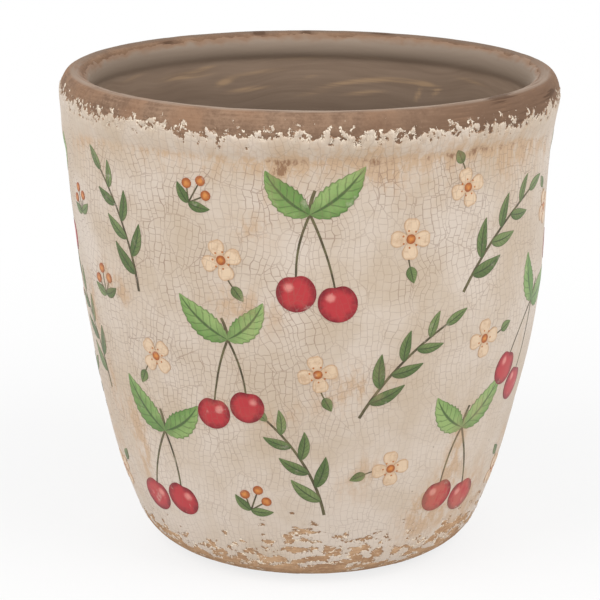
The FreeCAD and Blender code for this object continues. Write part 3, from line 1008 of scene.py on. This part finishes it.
def blade(start, heading, length, half_widths, bend, columns):
    """A grid of points along a bent line and across it, with the shares of each point."""
    shares, sides = np.linspace(0, 1, len(half_widths)), np.linspace(-1, 1, columns)
    middle, headings = trace(start, heading, length, bend, shares)
    offsets = (half_widths[:, None] * sides)[..., None]
    points = middle[:, None] + offsets * unit(headings + RIGHT_ANGLE)[:, None]
    return points, *np.meshgrid(shares, sides, indexing="ij")


class Sprig:
    """A printed motif at a place on the pot. It takes flat shapes, drawn with up along the second axis."""

    def __init__(self, shapes, angle, height, turn, size, mirrored, chance):
        self.shapes = shapes
        self.angle, self.along = angle, OUTLINE.outside(height)
        self.turn, self.size, self.mirrored = turn, size, mirrored
        self.chance = chance

    def add(self, kind, points, lengthwise, sidewise):
        across, up = points[..., 0] * self.size, points[..., 1] * self.size
        if self.mirrored:
            across = -across
        turned_across = across * math.cos(self.turn) - up * math.sin(self.turn)
        turned_up = across * math.sin(self.turn) + up * math.cos(self.turn)
        alongs = self.along - turned_up
        angles = self.angle + turned_across / OUTLINE.read(OUTLINE.radius, alongs)
        tone = self.chance.random()
        self.shapes[kind].append(Shape(alongs, angles, lengthwise, sidewise, tone, self.mirrored))

    def leaf(self, start, heading, length, width, bend, teeth=0, kind="leaves"):
        shares = np.linspace(0, 1, ROWS_PER_TOOTH * max(teeth, LEAST_TEETH) + 1)
        half_widths = width / 2 * np.sin(math.pi * shares ** LEAF_BELLY_POWER) ** LEAF_TIP_POWER
        if teeth:
            half_widths = half_widths * (1 - TOOTH_SHARE * (1 - shares * teeth % 1))
        self.add(kind, *blade(start, heading, length, half_widths + TIP_HALF_WIDTH, bend, LEAF_COLUMNS))

    def petal(self, start, heading, length, width):
        rounded = np.sqrt(np.sin(math.pi * np.linspace(*PETAL_ROUND_SHARES, PETAL_ROWS)))
        half_widths = width / 2 * rounded * np.linspace(PETAL_FOOT_SHARE, 1, PETAL_ROWS)
        self.add("petals", *blade(start, heading, length, half_widths, 0, LEAF_COLUMNS))

    def stem(self, start, heading, length, width, bend):
        """A stem, thinner at its end, and the point and heading that it ends with."""
        half_widths = width / 2 * np.linspace(1, STEM_TIP_SHARE, STEM_ROWS)
        self.add("stems", *blade(start, heading, length, half_widths, bend, STEM_COLUMNS))
        return trace(start, heading, length, bend, 1.0)

    def disc(self, kind, centre, radius, dent_share=0.0):
        """A round shape, with a dent at its top, as a square grid bulged into a circle."""
        side = np.linspace(-1, 1, max(LEAST_DISC_ROWS, round(radius * DISC_ROWS_PER_RADIUS)))
        across, up = np.meshgrid(side, side, indexing="ij")
        across, up = across * np.sqrt(1 - up ** 2 / 2), up * np.sqrt(1 - across ** 2 / 2)
        dent = 1 - dent_share * np.exp(-(np.arctan2(across, up) / DENT_SPREAD) ** 2) * np.hypot(across, up)
        points = np.stack((centre[0] + across * dent * radius, centre[1] + up * dent * radius), axis=-1)
        self.add(kind, points, up, across)


# Stems and leaves of the motifs: heading, length, width and bend

CHERRY_RADIUS = 0.0078
CHERRY_DENT_SHARE = 0.16
CHERRY_TOP = (-0.002, 0.013)
CHERRY_STEMS = ((-122, 0.026, 0.0011, 24), (-72, 0.031, 0.0011, -16))
CHERRY_LEAVES = ((18, 0.029, 0.0135, 34), (148, 0.025, 0.0120, -40))
CHERRY_LEAF_TEETH = 9
CHERRY_TWIG = (84, 0.010, 0.00176, -25)


def cherries(sprig):
    """Two cherries on long stems, with two toothed leaves and a stub of twig."""
    for stem in CHERRY_STEMS:
        end, last = sprig.stem(CHERRY_TOP, *stem)
        centre = end + CHERRY_RADIUS * (1 - CHERRY_DENT_SHARE) * unit(last)
        sprig.disc("fruit", centre, CHERRY_RADIUS, CHERRY_DENT_SHARE)
    for leaf in CHERRY_LEAVES:
        sprig.leaf(CHERRY_TOP, *leaf, CHERRY_LEAF_TEETH)
    sprig.stem(CHERRY_TOP, *CHERRY_TWIG)


TWIG_START = (-0.012, -0.025)
TWIG_STEM = (72, 0.056, 0.00143, -38)
TWIG_LEAF_SHARES = (0.14, 0.28, 0.42, 0.56, 0.70, 0.84)
TWIG_LEAF_LENGTH, TWIG_LEAF_WIDTH = 0.0185, 0.0062
TWIG_LEAF_SPREAD, TWIG_LEAF_BEND = 48, 26
TWIG_TAPER_SHARE = 1 / 2.6      # how much smaller a leaf would be at the very end of the twig
TWIG_TIP_SHARE = 0.7


def leafy_twig(sprig):
    """A bent twig with slim leaves on both sides in turn and one at its tip."""
    heading, length, _, bend = TWIG_STEM
    end, last = sprig.stem(TWIG_START, *TWIG_STEM)
    points, ways = trace(TWIG_START, heading, length, bend, TWIG_LEAF_SHARES)
    for index, (share, point, way) in enumerate(zip(TWIG_LEAF_SHARES, points, ways)):
        side = 1 if index % 2 else -1
        size = 1 - TWIG_TAPER_SHARE * share
        sprig.leaf(point, way + side * TWIG_LEAF_SPREAD, TWIG_LEAF_LENGTH * size, TWIG_LEAF_WIDTH * size,
                   -side * TWIG_LEAF_BEND, kind="slim_leaves")
    sprig.leaf(end, last, TWIG_LEAF_LENGTH * TWIG_TIP_SHARE, TWIG_LEAF_WIDTH * TWIG_TIP_SHARE, 0,
               kind="slim_leaves")


PETAL_COUNT, FIRST_PETAL = 4, 45
PETAL_LENGTH, PETAL_WIDTH = 0.0088, 0.0098
BLOSSOM_CENTRE_RADIUS = 0.0021
STAMEN_COUNT, STAMEN_REACH, STAMEN_RADIUS = 7, 0.0037, 0.00042
BUD_STEM = (-58, 0.012, 0.00088, 30)
BUD_LENGTH, BUD_WIDTH = 0.0075, 0.0046


def blossom(sprig):
    """An open blossom of broad petals round a warm centre with stamens, and a bud on a short stem."""
    end, last = sprig.stem((0, 0), *BUD_STEM)
    sprig.leaf(end, last, BUD_LENGTH, BUD_WIDTH, 0, kind="slim_leaves")
    for heading in spread(PETAL_COUNT, FIRST_PETAL):
        sprig.petal((0, 0), heading, PETAL_LENGTH, PETAL_WIDTH)
    sprig.disc("centres", (0, 0), BLOSSOM_CENTRE_RADIUS)
    for way in unit(spread(STAMEN_COUNT)):
        sprig.disc("centres", STAMEN_REACH * way, STAMEN_RADIUS)


BERRY_RADIUS = 0.0021
BERRY_STEMS = ((62, 0.0085, 0.00077, 0), (96, 0.011, 0.00077, 0), (130, 0.0080, 0.00077, 0))
BERRY_LEAVES = ((10, 0.0095, 0.004, 30), (172, 0.0095, 0.004, -30))


def berries(sprig):
    """Three small berries on short stems over a pair of leaves."""
    for stem in BERRY_STEMS:
        end, _ = sprig.stem((0, 0), *stem)
        sprig.disc("centres", end, BERRY_RADIUS)
    for leaf in BERRY_LEAVES:
        sprig.leaf((0, 0), *leaf, kind="slim_leaves")


PRINT_COLUMNS = 8
PRINT_HEIGHTS = (0.143, 0.098, 0.054)
PRINT_TURN_SPREAD, PRINT_ANGLE_SPREAD, PRINT_HEIGHT_SPREAD = 18, 3, 0.003     # degrees, degrees, metres
PRINT_SIZE_SHARES = (0.84, 0.96)
FILLER_COUNT, FILLER_TRIES = 30, 240
FILLER_HEIGHTS = (0.032, 0.163)
FILLER_TURN_SPREAD = 40         # degrees
PRINT_SEED = 20
POINT_STEP = 5                  # one in so many points stands for its shape when gaps are looked for


def print_motifs(chance, shapes):
    """The large motifs, in staggered rows, each a little turned and shifted."""
    for row, height in enumerate(PRINT_HEIGHTS):
        for column in range(PRINT_COLUMNS):
            angle = (column + row / 2) * FULL_TURN / PRINT_COLUMNS
            angle += math.radians(chance.uniform(-PRINT_ANGLE_SPREAD, PRINT_ANGLE_SPREAD))
            turn = math.radians(chance.uniform(-PRINT_TURN_SPREAD, PRINT_TURN_SPREAD))
            level = height + chance.uniform(-PRINT_HEIGHT_SPREAD, PRINT_HEIGHT_SPREAD)
            size = chance.uniform(*PRINT_SIZE_SHARES)
            draw = (cherries, leafy_twig)[(column + row) % 2]
            draw(Sprig(shapes, angle, level, turn, size, column % 4 > 1, chance))


def room(taken, angle, height):
    """Square of the distance from a place on the pot to the nearest point that is taken."""
    point = OUTLINE.surface(OUTLINE.outside(height), angle, 0)
    return np.min(np.sum((taken - point) ** 2, axis=1))


def print_fillers(chance, shapes):
    """Small motifs, each at the emptiest of some random places."""
    for index in range(FILLER_COUNT):
        drawn = [shape for kind in shapes.values() for shape in kind]
        grids = [OUTLINE.surface(shape.alongs, shape.angles, 0).reshape(-1, 3) for shape in drawn]
        taken = np.concatenate([grid[::POINT_STEP] for grid in grids])
        tries = [(chance.uniform(0, FULL_TURN), chance.uniform(*FILLER_HEIGHTS)) for _ in range(FILLER_TRIES)]
        angle, height = max(tries, key=lambda place: room(taken, *place))
        if index % 2:
            turn = chance.uniform(0, FULL_TURN)
        else:
            turn = math.radians(chance.uniform(-FILLER_TURN_SPREAD, FILLER_TURN_SPREAD))
        draw = (berries, blossom)[index % 2]
        draw(Sprig(shapes, angle, height, turn, chance.uniform(*PRINT_SIZE_SHARES), False, chance))


def print_shapes():
    """Every printed shape by its kind."""
    chance = random.Random(PRINT_SEED)
    shapes = collections.defaultdict(list)
    print_motifs(chance, shapes)
    print_fillers(chance, shapes)
    return shapes


def film_faces(rows, columns, start, mirrored):
    """Faces of a thin closed film: its front, its back and the wall round its edge."""
    count = rows * columns
    front = np.arange(count).reshape(rows, columns) + start
    quads = np.stack((front[:-1, :-1], front[1:, :-1], front[1:, 1:], front[:-1, 1:]), axis=-1).reshape(-1, 4)
    edge = np.concatenate((front[:, 0], front[-1, 1:], front[-2::-1, -1], front[0, -2:0:-1]))
    ahead = np.roll(edge, -1)
    wall = np.stack((edge, edge + count, ahead + count, ahead), axis=-1)
    faces = np.concatenate((quads, quads[:, ::-1] + count, wall))
    return (faces[:, ::-1] if mirrored else faces).tolist()


def film_mesh(name, shapes, thickness):
    """One mesh of the printed shapes, which lie on the glaze and sink where it is worn away."""
    points, faces, values = [], [], collections.defaultdict(list)
    count = 0
    for shape in shapes:
        alongs, angles = shape.alongs.ravel(), shape.angles.ravel()
        lift, left = glaze_face(OUTLINE.surface(alongs, angles, 0), alongs)
        points.append(OUTLINE.surface(alongs, angles, lift + thickness))
        points.append(OUTLINE.surface(alongs, angles, lift - FILM_BACK))
        faces += film_faces(*shape.alongs.shape, count, shape.mirrored)
        count += 2 * alongs.size
        tones = np.full(alongs.size, shape.tone)
        for key, numbers in (("left", left), ("mark", glaze_marks(alongs, angles)), ("tone", tones),
                             ("lengthwise", shape.lengthwise.ravel()), ("sidewise", shape.sidewise.ravel())):
            values[key] += [numbers, numbers]
    mesh = bpy.data.meshes.new(name)
    mesh.from_pydata(np.concatenate(points), [], faces)
    add_values(mesh, **{key: np.concatenate(parts) for key, parts in values.items()})
    return mesh


WATERCOLOUR_SIZE = 0.004
CENTRE_WASH_SIZE = WATERCOLOUR_SIZE / 3
PRINT_WEAR_SIZE = 0.007
VEIN_COUNT, VEIN_SLANT = 7.0, 1.3
FRUIT_LIGHT_SHARE = 0.34        # how far up and to the left of its middle a fruit is lit, in its radius
LEAF_PALE, LEAF_GREEN, LEAF_DEEP = paint(150, 176, 108), paint(104, 142, 72), paint(62, 84, 44)
SLIM_PALE, SLIM_GREEN, SLIM_DEEP = paint(120, 138, 84), paint(84, 106, 57), paint(52, 64, 38)
STEM_LIGHT, STEM_DARK = paint(104, 98, 66), paint(72, 64, 44)
FRUIT_LIGHT, FRUIT_RED, FRUIT_DEEP = paint(226, 150, 140), paint(184, 50, 56), paint(122, 26, 36)
PETAL_LIGHT, PETAL_DARK = paint(222, 196, 166), paint(182, 142, 106)
CENTRE_LIGHT, CENTRE_DARK = paint(214, 140, 70), paint(160, 84, 38)


def worn_print(nodes, colour):
    """Print that is thin in places, so that the cream shows through."""
    worn = nodes.rise(nodes.noise(PRINT_WEAR_SIZE, 4.0, 0.65), 0.6, 0.74, 0.0, 0.38)
    return nodes.mix(worn, colour, CREAM_LIGHT)


def leaf_colour(pale, green, deep):
    """Watercolour leaf: a dark midrib, slanting side veins, a darker outline and a paler half."""
    def colour(nodes):
        along, side, tone = (nodes.value(name) for name in ("lengthwise", "sidewise", "tone"))
        from_rib = nodes.math("ABSOLUTE", side)
        wash = nodes.noise(WATERCOLOUR_SIZE, 4.0, 0.6)
        base = nodes.mix(nodes.rise(tone * 0.45 + wash * 0.5 + side * 0.18, 0.2, 0.75), green, pale)
        vein = nodes.math("PINGPONG", along * VEIN_COUNT - from_rib * VEIN_SLANT, 0.5)
        veins = nodes.rise(vein, 0.0, 0.16, 0.55, 0.0) * nodes.rise(from_rib, 0.75, 0.95, 1.0, 0.0)
        rib = nodes.rise(from_rib, 0.05, 0.16, 0.85, 0.0)
        edge = nodes.rise(from_rib, 0.8, 1.0, 0.0, 0.6)
        foot = nodes.rise(along, 0.0, 0.3, 0.4, 0.0)
        return worn_print(nodes, nodes.mix(nodes.largest(veins, rib, edge, foot), base, deep))
    return colour


def stem_colour(nodes):
    shade = nodes.noise(WATERCOLOUR_SIZE, 3.0)
    return worn_print(nodes, nodes.mix(nodes.rise(shade, 0.35, 0.65), STEM_DARK, STEM_LIGHT))


def fruit_colour(nodes):
    """Round red fruit: deep at its rim, with a pale light near its upper left and watercolour clouds."""
    up, across = nodes.value("lengthwise"), nodes.value("sidewise")
    clouds = nodes.noise(WATERCOLOUR_SIZE, 4.0, 0.65) - 0.5
    shade = nodes.length(nodes.vector(up, across)) + clouds * 0.9
    colour = nodes.mix(nodes.rise(shade, 0.55, 1.1), FRUIT_RED, FRUIT_DEEP)
    light = nodes.length(nodes.vector(up - FRUIT_LIGHT_SHARE, across + FRUIT_LIGHT_SHARE)) + clouds * 0.3
    return worn_print(nodes, nodes.mix(nodes.rise(light, 0.08, 0.34, 0.75, 0.0), colour, FRUIT_LIGHT))


def petal_colour(nodes):
    along, side = nodes.value("lengthwise"), nodes.math("ABSOLUTE", nodes.value("sidewise"))
    wash = nodes.noise(WATERCOLOUR_SIZE, 4.0, 0.65)
    shade = nodes.largest(nodes.rise(side, 0.7, 1.0, 0.0, 0.7), nodes.rise(along, 0.85, 1.0, 0.0, 0.6),
                          nodes.rise(along, 0.0, 0.5, 0.85, 0.0), nodes.rise(wash, 0.45, 0.75, 0.0, 0.6))
    return worn_print(nodes, nodes.mix(shade, PETAL_LIGHT, PETAL_DARK))


def centre_colour(nodes):
    from_middle = nodes.length(nodes.vector(nodes.value("lengthwise"), nodes.value("sidewise")))
    shade = from_middle * 0.6 + nodes.noise(CENTRE_WASH_SIZE, 3.0) * 0.6
    return worn_print(nodes, nodes.mix(nodes.rise(shade, 0.3, 0.9), CENTRE_LIGHT, CENTRE_DARK))


FILM_SHARP_ANGLE = 40           # degrees
PRINT_STAIN_SHARE = 0.3
PRINT_CRACK_SHARE = 0.45


def build_print():
    colours = {
        "stems": stem_colour,
        "leaves": leaf_colour(LEAF_PALE, LEAF_GREEN, LEAF_DEEP),
        "slim_leaves": leaf_colour(SLIM_PALE, SLIM_GREEN, SLIM_DEEP),
        "fruit": fruit_colour,
        "petals": petal_colour,
        "centres": centre_colour,
    }
    shapes = print_shapes()
    for order, (kind, colour) in enumerate(colours.items()):
        mesh = film_mesh("print_" + kind, shapes[kind], FILM_THICKNESS + order * FILM_STEP)
        material = glazed("print_" + kind, colour, PRINT_STAIN_SHARE, PRINT_CRACK_SHARE)
        add_piece("print_" + kind, mesh, material, "crackle_glaze")
        mesh.set_sharp_from_angle(angle=math.radians(FILM_SHARP_ANGLE))


# Stage, light and camera

WHITE = (1, 1, 1, 1)
FLOOR_COLOUR, FLOOR_ROUGHNESS = (0.8, 0.8, 0.8, 1), 0.9
FLOOR_HALF_WIDTH = 12.0
SHADOW_WHITE_SHARE = 0.8
SHADOW_RADIUS, WHITE_RADIUS = 0.1, 0.5
WORLD_LEVEL = 0.55
LAMP_LEVEL = 0.5                # brightness of a white face square to a lamp
LAMP_DISTANCE = 2.2
LAMP_WIDTH = 1.6
LAMP_AZIMUTHS = (-55, 55)       # degrees from the camera's side
LAMP_ELEVATION = 45


def seen_directly(nodes):
    """1 for what the camera sees, also by reflection or through glass, and 0 for light on the pot."""
    rays = nodes.add("LightPath").outputs
    return nodes.largest(rays["Is Camera Ray"], rays["Is Glossy Ray"], rays["Is Transmission Ray"])


def floor_material():
    """Pale paper. The camera sees it mostly as white, with the pot's shadow showing through."""
    material, nodes, shader = new_material("pale_floor")
    shader.inputs["Base Color"].default_value = FLOOR_COLOUR
    shader.inputs["Roughness"].default_value = FLOOR_ROUGHNESS
    white = nodes.made(0, "Emission", {"Color": WHITE, "Strength": 1.0})
    whiteness = nodes.rise(nodes.length(nodes.place), SHADOW_RADIUS, WHITE_RADIUS, SHADOW_WHITE_SHARE, 1.0)
    share = seen_directly(nodes) * whiteness
    mixed = nodes.made(0, "MixShader", {0: share, 1: shader.outputs[0], 2: white})
    nodes.join(mixed, nodes.tree.nodes["Material Output"].inputs["Surface"])
    return material


def build_floor():
    corners = np.array([(-1, -1, 0), (1, -1, 0), (1, 1, 0), (-1, 1, 0)]) * FLOOR_HALF_WIDTH
    mesh = bpy.data.meshes.new("floor")
    mesh.from_pydata(corners, [], [(0, 1, 2, 3)])
    mesh.materials.append(floor_material())
    floor = add_object("floor", mesh)


def build_world():
    """Even white light from all round, which the camera sees as pure white."""
    world = bpy.data.worlds.new("studio")
    bpy.context.scene.world = world
    world.use_nodes = True
    nodes = Nodes(world.node_tree)
    background = world.node_tree.nodes["Background"]
    background.inputs["Color"].default_value = WHITE
    nodes.join(nodes.rise(seen_directly(nodes), 0, 1, WORLD_LEVEL, 1.0), background.inputs["Strength"])


def direction(azimuth, elevation):
    """Unit vector from the pot to a place round it. Azimuth 0 is the camera's side."""
    turn, lift = math.radians(azimuth), math.radians(elevation)
    return Vector((math.sin(turn) * math.cos(lift), -math.cos(turn) * math.cos(lift), math.sin(lift)))


def aim(thing, way, distance):
    """Place a lamp or camera some way from the pot's middle, looking at it."""
    thing.location = Vector((0, 0, AIM_HEIGHT)) + distance * way
    thing.rotation_euler = (-way).to_track_quat("-Z", "Y").to_euler()


def build_lamps():
    for azimuth in LAMP_AZIMUTHS:
        data = bpy.data.lights.new("softbox", "AREA")
        data.shape = "DISK"
        data.size = LAMP_WIDTH
        data.energy = LAMP_LEVEL * (math.pi * LAMP_DISTANCE) ** 2
        aim(add_object("softbox", data), direction(azimuth, LAMP_ELEVATION), LAMP_DISTANCE)


def build_camera():
    data = bpy.data.cameras.new("camera")
    data.sensor_width = SENSOR_WIDTH
    data.lens = CAMERA_FOCAL_PIXELS / FRAME_PIXELS * SENSOR_WIDTH
    data.shift_x = 0.5 - AIM_PIXEL[0] / FRAME_PIXELS
    data.shift_y = AIM_PIXEL[1] / FRAME_PIXELS - 0.5
    camera = add_object("camera", data)
    aim(camera, direction(0, CAMERA_ELEVATION), CAMERA_DISTANCE)
    bpy.context.scene.camera = camera


bpy.context.scene.view_settings.view_transform = "Standard"
build_floor()
build_world()
build_lamps()
build_camera()
build_pot()
build_print()
